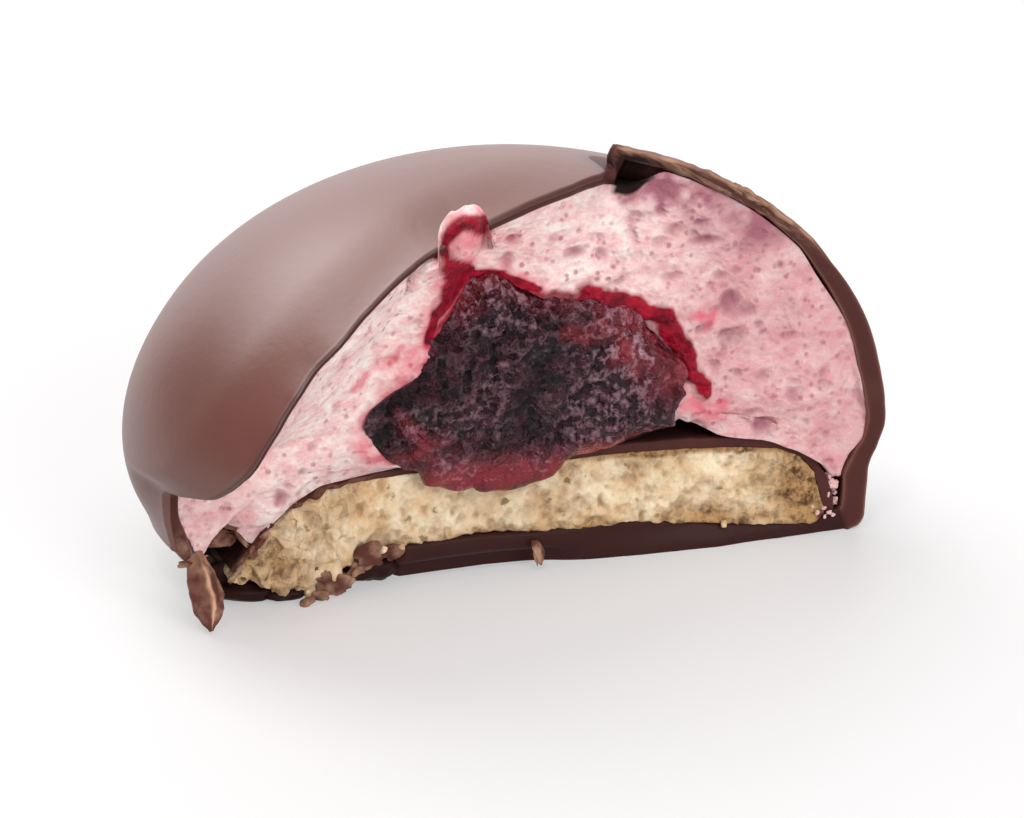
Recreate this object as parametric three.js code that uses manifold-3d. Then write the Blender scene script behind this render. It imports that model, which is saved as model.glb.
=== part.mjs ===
// Half of a chocolate-coated marshmallow cake, cut upright and standing on its flat base.
// Millimetres, +Z up. The cut face looks toward -Y, the uncut dome toward +Y, X runs along the cut.
// The shapes are worked out about the middle of the whole cake's base, then moved as one.
import * as THREE from 'three';
import { mergeVertices } from 'three/addons/utils/BufferGeometryUtils.js';
import Module from 'manifold-3d';

const wasm = await Module();
wasm.setup();

// Whole cake
const cakeRadius = 31.6;
const cakeHeight = 34.5;
const widestHeight = 12.1;
const footRadius = 30.0;
const footCorner = 1.4;
const domeLean = 1.1;
const waistDepth = 0.7;
const waistHeight = 6.8;

// Chocolate coat
const domeCoat = 1.2;
const lowerCoat = 2.3;
const baseCoat = 2.1;

// Biscuit and the chocolate film on it
const biscuitFoot = 2.5;
const biscuitTop = 8.3;
const biscuitRadius = 26.3;
const filmFoot = 2.5;
const filmTop = 9.5;
const filmRadius = 27.3;
const filmShoulder = 5.4;

// Jam pocket
const jamMiddle = new THREE.Vector3(0, 0, 16.5);
const jamWidth = 12.6;
const jamRise = 8.6;
const jamBack = 12;
const jamFront = 2.7;

// Clearance between neighbours, and the move that puts the origin under the middle of the box
const gap = 0.3;
const moveX = 0.35;
const moveY = -8.55;

// The wall fills this many degrees of latitude above the foot corner, the dome the rest
const wallLatitude = 22;
const degree = Math.PI / 180;

// The line of the cut on the coat: degrees round the cut face from +X over the top, and
// how far the coat reaches past the plane of the cut there, in degrees, forward negative
const cutStations = [
  [0, 0], [72, 0], [77, 1.3], [83, -2.5], [89, -5.8], [95, -8.8], [101, -10.2], [108, -13.5],
  [116, -17.6], [124, -20], [133.5, -22.2], [141, -23.5], [147.5, -22.3], [152.5, -18.3],
  [155, -13.5], [156.7, -6], [158, -1], [180, 0],
];

const clamp = (value, low, high) => Math.min(high, Math.max(low, value));
const mix = (start, end, part) => start + (end - start) * part;
const bump = (value, middle, width) => Math.exp(-(((value - middle) / width) ** 2));

function smooth(start, end, value) {
  const part = clamp((value - start) / (end - start), 0, 1);
  return part * part * (3 - 2 * part);
}

// A value read from stations by straight lines between them
function along(stations, place) {
  for (let index = 1; index < stations.length; index++) {
    const [endPlace, endValue] = stations[index];
    if (place > endPlace) continue;
    const [startPlace, startValue] = stations[index - 1];
    return mix(startValue, endValue, clamp((place - startPlace) / (endPlace - startPlace), 0, 1));
  }
  return stations.at(-1)[1];
}

// Torn and crumbly relief: a few waves that don't repeat over the cake, about -1 to 1
function rough(x, z, grain, seed) {
  const u = x / grain;
  const v = z / grain;
  return 0.4 * Math.sin(2.1 * u + 1.3 * v + seed) * Math.cos(1.7 * v - 0.6 * u + 2 * seed)
    + 0.35 * Math.sin(3.7 * u - 2.9 * v + 3 * seed)
    + 0.25 * Math.cos(5.3 * v + 4.1 * u - seed);
}

// Radius of the wall outside, with its slight waist above the foot
function wallRadius(height) {
  const ease = smooth(0, widestHeight, height);
  return footRadius + (cakeRadius - footRadius) * ease - waistDepth * bump(height, waistHeight, 2.4);
}

function coatThickness(height) {
  return mix(lowerCoat, domeCoat, smooth(5, 11, height));
}

// Profiles give [radius, height] at a latitude: the middle of the underside is at -90,
// the foot corner at 0, the top of the wall at wallLatitude and the top of the dome at 90
function outerProfile(latitude) {
  if (latitude < 0) return [(footRadius - footCorner) * (1 + latitude / 90), 0];
  if (latitude < wallLatitude) {
    const height = widestHeight * (latitude / wallLatitude);
    const under = clamp((footCorner - height) / footCorner, 0, 1);
    return [wallRadius(height) - footCorner * (1 - Math.sqrt(1 - under * under)), height];
  }
  return domeProfile(latitude, 0);
}

function domeProfile(latitude, inset) {
  const rise = ((latitude - wallLatitude) / (90 - wallLatitude)) * 90 * degree;
  const radius = (cakeRadius - inset) * Math.cos(rise);
  return [radius, widestHeight + (cakeHeight - inset - widestHeight) * Math.sin(rise)];
}

// The inside of the coat above a floor, drawn in further by the clearance asked for
function insideProfile(latitude, floor, clearance) {
  if (latitude >= wallLatitude) return domeProfile(latitude, domeCoat + clearance);
  const height = mix(floor, widestHeight, Math.max(latitude, 0) / wallLatitude);
  return [wallRadius(height) - coatThickness(height) - 1.6 * clearance, height];
}

function hollowProfile(latitude) {
  const [radius, height] = insideProfile(latitude, baseCoat, 0);
  return latitude < 0 ? [radius * (1 + latitude / 90), baseCoat] : [radius, height];
}

// Top of the chocolate film: flat, then rounding down over the biscuit's edge
function filmHeight(radius) {
  const over = clamp((radius - 22) / (filmRadius - 22), 0, 1);
  return filmTop - (filmTop - filmShoulder) * over * over;
}

function filmProfile(latitude) {
  if (latitude < 0) return [filmRadius * (1 + latitude / 90), filmFoot];
  if (latitude < 12) return [filmRadius, mix(filmFoot, filmShoulder, latitude / 12)];
  const radius = filmRadius * (1 - ((latitude - 12) / 78) ** 1.4);
  return [radius, filmHeight(radius)];
}

function marshmallowProfile(latitude) {
  const [radius, height] = insideProfile(latitude, filmShoulder + gap, gap);
  if (latitude >= 0) return [radius, height];
  const inward = radius * (1 - (-latitude / 90) ** 1.2);
  return [inward, filmHeight(inward) + 1.5 * gap];
}

function biscuitProfile(latitude, grow, foot) {
  if (latitude < 0) return [(biscuitRadius - 0.5 + grow) * (1 + latitude / 90), foot];
  const rise = Math.min(latitude / 40, 1);
  const height = mix(foot, biscuitTop + grow, Math.sin(rise * 90 * degree) ** 0.8);
  const rounded = (biscuitRadius + grow) - 3.4 * rise ** 3 - 0.5 * (1 - rise) ** 3;
  return [latitude < 40 ? rounded : (rounded * (90 - latitude)) / 50, height];
}

// A point on a body of revolution: around is the angle on the cut face from +X over the
// top, turn runs from 0 at the plane of the cut to 90 at the middle of the back
function onBody(profile, around, turn, outward = 0) {
  const x = Math.cos(around * degree) * Math.cos(turn * degree);
  const y = Math.sin(turn * degree);
  const z = Math.sin(around * degree) * Math.cos(turn * degree);
  const latitude = Math.asin(clamp(z, -1, 1)) / degree;
  const bearing = Math.atan2(y, x);
  const [radius, height] = profile(Math.abs(latitude) < 1e-6 ? 0 : latitude);
  const rise = clamp((latitude - wallLatitude) / (90 - wallLatitude), 0, 1) * 90 * degree;
  const pushed = radius + outward * Math.cos(rise);
  const top = height + outward * Math.sin(rise);
  const leanHere = (domeLean * top) / cakeHeight;
  return new THREE.Vector3(pushed * Math.cos(bearing) - leanHere, pushed * Math.sin(bearing), top);
}

// Columns of every wrapped body, closest together at the foot corners and the tongue's tip
function columnAngles(bands) {
  const angles = [];
  for (const [start, end, count] of bands) {
    for (let step = 0; step < count; step++) angles.push(mix(start, end, step / count));
  }
  angles.push(bands.at(-1)[1]);
  return angles;
}

const coatColumns = columnAngles([[180, 176, 2], [176, 159, 3], [159, 149, 6], [149, 80, 17], [80, 68, 5],
  [68, 22, 10], [22, 4, 4], [4, 0, 2], [0, -180, 15]]);
const flatColumns = columnAngles([[180, 160, 5], [160, 20, 24], [20, 0, 5], [0, -20, 2], [-20, -160, 16],
  [-160, -180, 2]]);

// A closed body made by moving every point of a sphere: rows run from the middle of the
// back, over the rim, to the middle of the front, and place gives each point's position
function wrap(columns, rows, place) {
  const geometry = new THREE.SphereGeometry(1, columns.length - 1, rows);
  geometry.deleteAttribute('normal');
  geometry.deleteAttribute('uv');
  const positions = geometry.attributes.position;
  let index = 0;
  for (let row = 0; row <= rows; row++) {
    for (const around of columns) {
      const point = place(row, row === 0 || row === rows ? 90 : around);
      positions.setXYZ(index++, point.x, point.y, point.z);
    }
  }
  return mergeVertices(geometry, 1e-4);
}

// Turn of a row between the cut and the back, rows closer together at both ends
function turnAt(cut, part) {
  const spread = mix(part ** 1.25, 0.5 - 0.5 * Math.cos(part * Math.PI), 0.5);
  return cut + (90 - cut) * spread;
}

// A body cut flat: its back is a body of revolution, its face runs in to a middle line
function cutBody(columns, backRows, faceRows, parts) {
  const onBack = (around, part) => {
    const cut = parts.cut?.(around) ?? 0;
    const turn = turnAt(cut, part);
    const point = onBody(parts.profile, around, turn, parts.lift?.(around, turn - cut) ?? 0);
    return parts.back?.(point, part) ?? point;
  };
  return wrap(columns, backRows + faceRows, (row, around) => {
    if (row <= backRows) return onBack(around, 1 - row / backRows);
    return parts.face(onBack(around, 0), 1 - ((row - backRows) / faceRows) ** 1.25);
  });
}

function toSolid(geometry) {
  const vertProperties = new Float32Array(geometry.attributes.position.array);
  const triVerts = new Uint32Array(geometry.index.array);
  return new wasm.Manifold(new wasm.Mesh({ numProp: 3, vertProperties, triVerts }));
}

function toGeometry(solid) {
  const mesh = solid.getMesh();
  const geometry = new THREE.BufferGeometry();
  geometry.setAttribute('position', new THREE.BufferAttribute(new Float32Array(mesh.vertProperties), 3));
  geometry.setIndex(new THREE.BufferAttribute(new Uint32Array(mesh.triVerts), 1));
  return geometry;
}

// The cut edge of the coat rolls inward, and right of the crack near the top a flap of it
// stands off the marshmallow
function coatLift(around, pastCut) {
  const curl = -1.0 * smooth(75, 112, around) * (1 - smooth(158, 170, around));
  const flap = 1.35 * smooth(50, 74, around) * (1 - smooth(74, 77, around));
  return curl * (1 - smooth(0, 11, pastCut)) + flap * (1 - smooth(2, 15, pastCut));
}

// The base coat is broken back at the left of the cut
function baseBreak(x, y) {
  const here = smooth(-13, -17, x) * (1 - smooth(-25, -27.5, x));
  return 2.6 * here * (1 - smooth(0, 9, y));
}

// The flake of wall that hangs, snapped, from the left end of the cut
function snappedFlake() {
  const outline = new THREE.Shape();
  outline.moveTo(-1.2, 0.2);
  outline.lineTo(1.3, 0);
  outline.lineTo(1.5, -3.2);
  outline.lineTo(1.1, -6.2);
  outline.lineTo(0.2, -6.9);
  outline.lineTo(-1.2, -4.2);
  const geometry = new THREE.ExtrudeGeometry(outline, { depth: 1.3, bevelEnabled: false });
  geometry.rotateX(58 * degree);
  geometry.rotateZ(10 * degree);
  geometry.translate(-29.9, 0.9, 6.1);
  geometry.deleteAttribute('normal');
  geometry.deleteAttribute('uv');
  return mergeVertices(geometry, 1e-4);
}

// The coat alone, or grown all round and past its cut edge as room for the marshmallow
function coatBody(grow) {
  const rows = 14;
  return wrap(coatColumns, 2 * rows + 1, (row, around) => {
    const outside = row <= rows;
    const part = outside ? 1 - row / rows : (row - rows - 1) / rows;
    const cut = around > 0 ? along(cutStations, around) : 0;
    const turn = turnAt(cut, part);
    const fade = smooth(0, 6, around) * (1 - smooth(168, 178, around)) * (1 - smooth(0, 8, turn - cut));
    const wave = 0.35 * rough(around / 6, 0, 1, 4) * fade;
    const profile = outside ? outerProfile : hollowProfile;
    const lift = around > 0 ? coatLift(around, turn - cut) : 0;
    const point = onBody(profile, around, turn, lift + (outside ? grow : -0.45 * grow));
    point.y += wave - 2 * grow * (1 - smooth(0, 12, turn - cut));
    if (around < 0 || around > 175) point.y += baseBreak(point.x, point.y);
    return point;
  });
}

function makeShell() {
  return toGeometry(toSolid(coatBody(0)).add(toSolid(snappedFlake())));
}

// The pocket the jam fills. The tool that opens it in the marshmallow is larger all round,
// runs out through the face and down through the underside
function jamReach(around) {
  const x = Math.cos(around * degree) / jamWidth;
  const z = Math.sin(around * degree) / jamRise;
  const oval = 1 / Math.hypot(x, z);
  const away = (middle) => Math.abs(((around - middle + 540) % 360) - 180);
  return oval + 1.6 * Math.exp(-((away(-173) / 13) ** 2)) - 2.2 * Math.exp(-((away(164) / 14) ** 2))
    + 1.2 * Math.exp(-((away(122) / 16) ** 2)) + 0.9 * Math.exp(-((away(5) / 24) ** 2));
}

function jamBlob(grow, tool) {
  const columns = columnAngles([[180, -180, 36]]);
  const rows = 18;
  return wrap(columns, rows, (row, around) => {
    const turn = 90 - (180 * row) / rows;
    const spread = tool && turn < 0 && row < rows ? 1 : Math.cos(turn * degree) ** 0.8;
    const reach = (jamReach(around) + grow) * (row === 0 || row === rows ? 0 : spread);
    const depth = turn > 0 ? jamBack + grow : tool ? 9 : jamFront;
    const point = new THREE.Vector3(
      jamMiddle.x + reach * Math.cos(around * degree),
      jamMiddle.y + depth * Math.sin(turn * degree),
      jamMiddle.z + reach * Math.sin(around * degree),
    );
    if (tool && around < 0) point.z -= 3 * smooth(0, -35, around) * (row === 0 || row === rows ? 0 : 1)
      * (1 - smooth(-145, -180, around));
    if (!tool) point.y += 0.45 * rough(point.x, point.z, 2.2, 1) * Math.cos(turn * degree);
    return point;
  });
}

// The torn face runs from the coat's edge back to the jam, with a ridge that climbs it
function marshmallowFace(rim, out) {
  const middle = new THREE.Vector3(-0.5, 0.8, 17);
  const x = mix(middle.x, rim.x, out);
  const climb = mix(4, 1, smooth(9, 20, rim.z));
  const z = mix(middle.z, rim.z, out ** climb);
  const slope = mix(middle.y, rim.y, out ** 2.2);
  const ridge = 2.4 * bump(x, mix(-8.4, -6.9, smooth(22, 31, z)), 2.1) * smooth(20, 27, z);
  const tear = 0.5 * rough(x, z, 3.1, 2);
  return new THREE.Vector3(x, slope + tear * (1 - out ** 8) - ridge * (1 - out ** 14), z);
}

// Right of the jam the marshmallow stands clear of the film
function airUnder(point, part) {
  if (point.z > 12 || point.x < 10) return point;
  const wide = smooth(10, 13, point.x) * (1 - smooth(16, 25.5, point.x));
  const under = 1 - smooth(filmHeight(Math.abs(point.x)) + 1, filmHeight(Math.abs(point.x)) + 2.5, point.z);
  point.z += 2.3 * wide * under * (1 - smooth(0.05, 0.6, part));
  return point;
}

// The peak at the top of the ridge, pulled up past the coat's edge
function makePeak() {
  const geometry = new THREE.SphereGeometry(1, 14, 10);
  geometry.scale(2.0, 2.2, 5.6);
  geometry.rotateX(24 * degree);
  geometry.translate(-7.0, -6.6, 30.4);
  geometry.deleteAttribute('normal');
  geometry.deleteAttribute('uv');
  return mergeVertices(geometry, 1e-4);
}

function makeMarshmallow() {
  const body = cutBody(coatColumns, 12, 10, {
    profile: marshmallowProfile,
    cut: (around) => along(cutStations, Math.max(around, 0)) + 0.4 * smooth(0, 20, Math.min(around, 180 - around)),
    lift: (around, pastCut) => Math.min(0, coatLift(around, pastCut)),
    back: airUnder,
    face: marshmallowFace,
  });
  const peaked = toSolid(body).add(toSolid(makePeak()));
  return toGeometry(peaked.subtract(toSolid(jamBlob(gap, true))).subtract(toSolid(coatBody(gap))));
}

// A face that closes on a level line instead of a point, so a thin layer has even rows
function layerFace(rim, out, level, relief) {
  const x = rim.x * Math.min(1, out ** 0.35);
  const z = mix(level, rim.z, out);
  return new THREE.Vector3(x, rim.y + relief(x, z) * (1 - out ** 6), z);
}

function makeBiscuit() {
  const foot = biscuitFoot;
  return cutBody(flatColumns, 8, 5, {
    profile: (latitude) => biscuitProfile(latitude, 0, foot),
    face: (rim, out) => layerFace(rim, out, 5.4, (x, z) => -0.4 + 0.45 * rough(x, z, 1.5, 5)),
  });
}

// Everything the film has to stay clear of: the biscuit grown by the gap, run down and forward
function biscuitRoom() {
  return cutBody(flatColumns, 8, 4, {
    profile: (latitude) => biscuitProfile(latitude, gap, 0.5),
    face: (rim, out) => new THREE.Vector3(rim.x * out ** 0.35, rim.y - 6 * Math.min(1, 2 * (1 - out)),
      mix(5, rim.z, Math.min(1, out * 2))),
  });
}

function makeFilm() {
  const body = cutBody(flatColumns, 8, 5, {
    profile: filmProfile,
    face: (rim, out) => layerFace(rim, out, 6, () => 0),
  });
  return toGeometry(toSolid(body).subtract(toSolid(biscuitRoom())));
}

function makeJam() {
  const room = cutBody(flatColumns, 8, 4, {
    profile: (latitude) => {
      const [radius, height] = filmProfile(latitude);
      return [radius + gap, latitude < 0 ? 0 : height + gap];
    },
    face: (rim, out) => layerFace(new THREE.Vector3(rim.x, rim.y - 1.1, rim.z), out, 6, () => 0),
  });
  return toGeometry(toSolid(jamBlob(0, false)).subtract(toSolid(room)));
}

function piece(name, geometry, color, roughness) {
  const material = new THREE.MeshStandardMaterial({ color, roughness, metalness: 0 });
  const mesh = new THREE.Mesh(geometry, material);
  mesh.name = name;
  return mesh;
}

const cake = new THREE.Group();
cake.add(piece('shell', makeShell(), '#6b4a44', 0.35));
cake.add(piece('marshmallow', makeMarshmallow(), '#e2a6a9', 0.85));
cake.add(piece('jam', makeJam(), '#3b1824', 0.2));
cake.add(piece('biscuit', makeBiscuit(), '#cbac8d', 0.95));
cake.add(piece('biscuit_film', makeFilm(), '#4b2725', 0.45));
cake.position.set(moveX, moveY, 0);

const part = new THREE.Group();
part.add(cake);
export default part;
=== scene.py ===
# Half of a chocolate-coated marshmallow cake with jam and biscuit, cut upright and standing on its base.
# Sizes are in millimetres about the middle of the whole cake's base, and turned to metres when a
# piece is finished. The cut face looks toward -Y, the uncut dome toward +Y, and X runs along the cut.
import math

import bmesh
import bpy
import numpy as np
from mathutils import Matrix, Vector


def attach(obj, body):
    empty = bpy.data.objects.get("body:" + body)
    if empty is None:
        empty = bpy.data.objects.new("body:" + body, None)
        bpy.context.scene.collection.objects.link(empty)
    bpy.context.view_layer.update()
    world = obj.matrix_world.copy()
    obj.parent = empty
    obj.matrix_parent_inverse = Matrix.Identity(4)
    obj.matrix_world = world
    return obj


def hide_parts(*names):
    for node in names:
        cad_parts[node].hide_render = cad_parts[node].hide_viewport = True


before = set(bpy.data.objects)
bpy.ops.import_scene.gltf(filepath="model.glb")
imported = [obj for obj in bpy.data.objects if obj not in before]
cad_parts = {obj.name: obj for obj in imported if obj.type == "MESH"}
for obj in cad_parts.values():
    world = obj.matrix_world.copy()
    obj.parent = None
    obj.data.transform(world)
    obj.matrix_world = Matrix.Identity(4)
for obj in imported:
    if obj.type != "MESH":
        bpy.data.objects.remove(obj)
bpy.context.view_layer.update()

# Whole cake
CAKE_RADIUS = 31.6
CAKE_HEIGHT = 34.5
WIDEST_HEIGHT = 12.1
FOOT_RADIUS = 30.0
FOOT_CORNER = 1.4
DOME_LEAN = 1.1
WAIST_DEPTH = 0.7
WAIST_HEIGHT = 6.8
WAIST_WIDTH = 2.4

# Chocolate coat, which thins between two heights
DOME_COAT = 1.2
LOWER_COAT = 2.3
BASE_COAT = 2.1
COAT_THINS = (5, 11)

# Biscuit and the chocolate film on it, which is flat out to a radius and rounds down past it
BISCUIT_RADIUS = 26.4
FILM_TOP = 9.5
FILM_FLAT = 22
FILM_RADIUS = 27.4
FILM_SHOULDER = 5.4

# Lines of the layers on the cut face: places along the cut, then the heights there
BISCUIT_TOP = ([-24.9, -24.3, -23.1, -22.2, -20.9, -19.7, -18.3, -16.8, -15, -12.5, -8, 5.6, 10.2, 14.8, 18.4,
                22.2, 24.3, 25.4, 25.9, 26.4],
               [2.6, 3.2, 4.4, 5.3, 6.6, 7.5, 8.3, 9.1, 9.4, 9.6, 9.6, 9.2, 9.2, 8.9, 8.7, 8.2, 7.2, 5.8, 4.2,
                2.0])
BISCUIT_FOOT = ([-24.9, -24.3, -23.1, -21.8, -21.1, -19.8, -18.3, -17.6, -16.6, -15.5, -14, -12.5, -9.8,
                 -3.5, 1, 10.2, 17.6, 23.6, 25.9, 26.4],
                [2.3, 2.1, 1.9, 1.6, 1.3, 0.6, 0.3, 0.5, 1.4, 2.3, 2.7, 3.1, 3.3, 3.4, 3.1, 3.0, 1.9, 1.2,
                 1.2, 1.8])
FILM_LINE = ([-24.6, -22.8, -21, -19.2, -17, -12.5, -8.5, 0, 10.2, 14.7, 19.4, 21.7, 24, 25.5, 26.6, 27.2],
             [3.0, 5.3, 7.0, 8.3, 9.4, 10.0, 10.3, 10.2, 9.95, 9.75, 9.45, 9.1, 8.1, 6.9, 5.2, 3.1])
FOAM_FOOT = ([-28.8, -27.7, -26.7, -26.1, -25.5, -24.6, -23.6, -22.8, -21, -19.2, -17, -12.5, -8.5, 0, 10,
              12.4, 13.6, 17, 21.3, 23.8, 26.1, 27.2, 28.4],
             [5.1, 5.0, 5.7, 6.9, 7.3, 6.7, 5.4, 5.0, 6.6, 8.2, 9.4, 10.0, 10.3, 10.2, 10.2, 11.3, 11.8,
              10.0, 9.0, 8.0, 6.5, 5.1, 4.6])

# How far back the front of the underside lies, by the place along the cut
UNDERSIDE = ([-12, -7.1, -2.5, 0.9, 4, 7.3, 10.4, 17.2, 23.2, 28.6],
             [0.6, 1.3, 1.6, 0.9, 0.2, -0.1, -0.4, -0.7, -0.3, 0.3])

# Jam pocket
JAM_MIDDLE = (0.0, 16.5)
JAM_BACK = 11.8
JAM_FRONT = 2.7

# Room between neighbouring layers
COAT_ROOM = 0.04
FILM_ROOM = 0.05
JAM_ROOM = 0.15

# Where the photograph was taken from, and the middle of the picture
SEEN_FROM = (-193.43, -595.31, 265.7)
LOOKED_AT = (-0.6, 0.0, 14.2)

# The move from the middle of the cake's base to the origin of the part
MOVE = np.array([0.35, -8.55, 0.0])
MM = 0.001

# Points closer than this many metres are merged
MERGE_WITHIN = 2e-6

# The wall fills this many degrees of latitude above the foot corner, the dome the rest
WALL_LATITUDE = 22.0

# The line of the cut on the coat: degrees round the cut face from +X over the top, and
# how far the coat reaches past the plane of the cut there, in degrees, forward negative
CUT_LINE = ([-180, -174, -166, -25, 0, 18, 30, 66, 72, 77, 83, 89, 95, 101, 108, 116, 124, 133.5, 141,
             147.5, 152.5, 155, 156.7, 158, 166, 180],
            [-4, -2.5, 0, -0.3, -1.3, -1.2, 0, 0, 1.2, 1.8, -2.5, -5.8, -8.8, -10.2, -13.5, -17.6, -20,
             -22.2, -23.5, -22.3, -18.3, -13.5, -7.5, -5.8, -5.6, -4])

# How far the coat's outside and inside stand out from the plain dome at the cut
LIFT_AROUND = [-180, -20, 0, 6.5, 9.7, 13, 16.2, 20, 27, 39, 45, 50, 56, 62, 68, 75.6, 76.2, 98, 104,
               156.5, 157.6, 166, 174, 180]
LIFT_OUTSIDE = [0, 0, 0, 0.1, 0.3, 0.9, 0.9, 0.5, 0.35, 0.5, 0.65, 1.1, 1.35, 1.7, 2.0, 2.2, 0, 0, 0.2,
                0.3, -0.1, 0, 0, 0]
LIFT_INSIDE = [0, 0, 0.2, 0.4, 1.0, 1.1, 0.6, 0, -0.3, 0.1, 0.5, 1.05, 1.4, 1.8, 2.1, 2.25, 0.1, 0.1,
               0.65, 0.65, 0.3, 0.3, 0.9, 0.9]

# Parts of the cut edge by the angle round it: each begins over the first two numbers and ends over the last
TONGUE = (76.5, 79, 155, 158)
FLAP = (48, 56, 75, 76)
FLAP_CORNER = (66, 76, 75.8, 76.4)
FLAP_LAYERS = (30, 40, 78, 82)
LOOSE_COAT = (45, 60, 80, 90)


def mix(start, end, part):
    return start + (end - start) * part


def clamp(value):
    return np.clip(value, 0, 1)


def smooth(start, end, value):
    part = clamp((value - start) / (end - start))
    return part * part * (3 - 2 * part)


def band(value, ends):
    """1 between the inner two of four numbers, easing to 0 at the outer two."""
    return smooth(ends[0], ends[1], value) * (1 - smooth(ends[2], ends[3], value))


def bump(value, middle, width):
    return np.exp(-(((value - middle) / width) ** 2))


def highest(*values):
    return np.maximum.reduce(values)


def on_plane(x, z):
    """Points on the plane of the cut."""
    return np.stack([x, np.zeros(len(x)), z], -1)


def hashed(ix, iy, iz, seed):
    """A repeatable number from 0 to 1 for each whole-numbered place."""
    mixed = (ix * 374761393 + iy * 668265263 + iz * 2147483647 + seed * 1442695041) & 0xFFFFFFFF
    mixed = ((mixed ^ (mixed >> 13)) * 1274126177) & 0xFFFFFFFF
    return ((mixed ^ (mixed >> 16)) & 0xFFFF) / 65535


def soft_noise(points, size, seed):
    """Smooth noise from -1 to 1 with lumps of about this size."""
    scaled = points / size
    base = np.floor(scaled).astype(np.int64)
    part = scaled - base
    part = part * part * (3 - 2 * part)
    total = np.zeros(len(points))
    for corner in range(8):
        step = [corner & 1, (corner >> 1) & 1, corner >> 2]
        weight = np.ones(len(points))
        for axis in range(3):
            weight = weight * (part[:, axis] if step[axis] else 1 - part[:, axis])
        total += weight * hashed(base[:, 0] + step[0], base[:, 1] + step[1], base[:, 2] + step[2], seed)
    return 2 * total - 1


def noise(points, size, seed, layers=3):
    """Soft noise in layers, each half as large and half as strong as the one before."""
    return sum(soft_noise(points, size / 2**layer, seed + layer) / 2**layer for layer in range(layers))


def shaken(kind, points, size, seed):
    """A shift for each point along all three axes."""
    return np.stack([kind(points, size, seed + axis) for axis in range(3)], -1)


def grains(points, size, seed):
    """How far each point is from its nearest grain's middle, in grain sizes, and that grain's number."""
    scaled = points / size
    base = np.floor(scaled).astype(np.int64)
    nearest = np.full(len(points), 9.0)
    number = np.zeros(len(points))
    for step in np.ndindex(3, 3, 3):
        cell = [base[:, axis] + step[axis] - 1 for axis in range(3)]
        middle = [cell[axis] + hashed(*cell, seed + 7 * axis) for axis in range(3)]
        away = np.sqrt(sum((scaled[:, axis] - middle[axis]) ** 2 for axis in range(3)))
        closer = away < nearest
        nearest = np.where(closer, away, nearest)
        number = np.where(closer, hashed(*cell, seed + 31), number)
    return nearest, number


def wall_radius(height):
    """Radius of the wall outside, with its slight waist above the foot."""
    ease = smooth(0, WIDEST_HEIGHT, height)
    waist = WAIST_DEPTH * bump(height, WAIST_HEIGHT, WAIST_WIDTH)
    return FOOT_RADIUS + (CAKE_RADIUS - FOOT_RADIUS) * ease - waist


def coat_thickness(height):
    return mix(LOWER_COAT, DOME_COAT, smooth(*COAT_THINS, height))


def dome_profile(latitude, inset):
    rise = np.radians(clamp((latitude - WALL_LATITUDE) / (90 - WALL_LATITUDE)) * 90)
    radius = (CAKE_RADIUS - inset) * np.cos(rise)
    return radius, WIDEST_HEIGHT + (CAKE_HEIGHT - inset - WIDEST_HEIGHT) * np.sin(rise)


def outer_profile(latitude):
    """Radius and height outside: the underside's middle is at -90, the foot corner at 0, the top at 90."""
    height = WIDEST_HEIGHT * clamp(latitude / WALL_LATITUDE)
    under = clamp((FOOT_CORNER - height) / FOOT_CORNER)
    radius = wall_radius(height) - FOOT_CORNER * (1 - np.sqrt(1 - under * under))
    dome_radius, dome_height = dome_profile(latitude, 0)
    radius = np.where(latitude > WALL_LATITUDE, dome_radius, radius)
    height = np.where(latitude > WALL_LATITUDE, dome_height, height)
    return radius * np.where(latitude < 0, 1 + latitude / 90, 1), height


def inside_profile(latitude, floor, clearance):
    """The inside of the coat above a floor, drawn in by a clearance."""
    height = mix(floor, WIDEST_HEIGHT, clamp(latitude / WALL_LATITUDE))
    radius = wall_radius(height) - coat_thickness(height) - clearance
    dome_radius, dome_height = dome_profile(latitude, DOME_COAT + clearance)
    radius = np.where(latitude > WALL_LATITUDE, dome_radius, radius)
    return radius, np.where(latitude > WALL_LATITUDE, dome_height, height)


def hollow_profile(latitude):
    radius, height = inside_profile(latitude, BASE_COAT, 0)
    return radius * np.where(latitude < 0, 1 + latitude / 90, 1), height


def film_height(radius):
    """Top of the chocolate film: flat, then rounding down over the biscuit's edge."""
    over = clamp((radius - FILM_FLAT) / (FILM_RADIUS - FILM_FLAT))
    return FILM_TOP - (FILM_TOP - FILM_SHOULDER) * over * over


def marshmallow_profile(latitude):
    radius, height = inside_profile(latitude, FILM_SHOULDER + FILM_ROOM, COAT_ROOM)
    inward = radius * (1 - clamp(-latitude / 90) ** 1.2)
    height = np.where(latitude < 0, film_height(inward) + FILM_ROOM, height)
    return np.where(latitude < 0, inward, radius), height


def on_body(profile, around, turn, outward):
    """A point on a body of revolution, turned from the plane of the cut at 0 to the back at 90."""
    a, t = np.radians(around), np.radians(turn)
    x, y, z = np.cos(a) * np.cos(t), np.sin(t), np.sin(a) * np.cos(t)
    latitude = np.degrees(np.arcsin(np.clip(z, -1, 1)))
    latitude = np.where(np.abs(latitude) < 1e-6, 0, latitude)
    bearing = np.arctan2(y, x)
    radius, height = profile(latitude)
    rise = np.radians(clamp((latitude - WALL_LATITUDE) / (90 - WALL_LATITUDE)) * 90)
    radius = radius + outward * np.cos(rise)
    height = height + outward * np.sin(rise)
    lean = DOME_LEAN * height / CAKE_HEIGHT
    return np.stack([radius * np.cos(bearing) - lean, radius * np.sin(bearing), height], -1)


def cut_turn(around):
    """The line of the cut at an angle round it, with its corners rounded, most of all on the tongue."""
    wide = mix(0.6, 4.5, band(around, (84, 108, 146, 153)))
    return sum(np.interp(around + wide * step, *CUT_LINE) for step in (-1, -0.5, 0, 0.5, 1)) / 5


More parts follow.
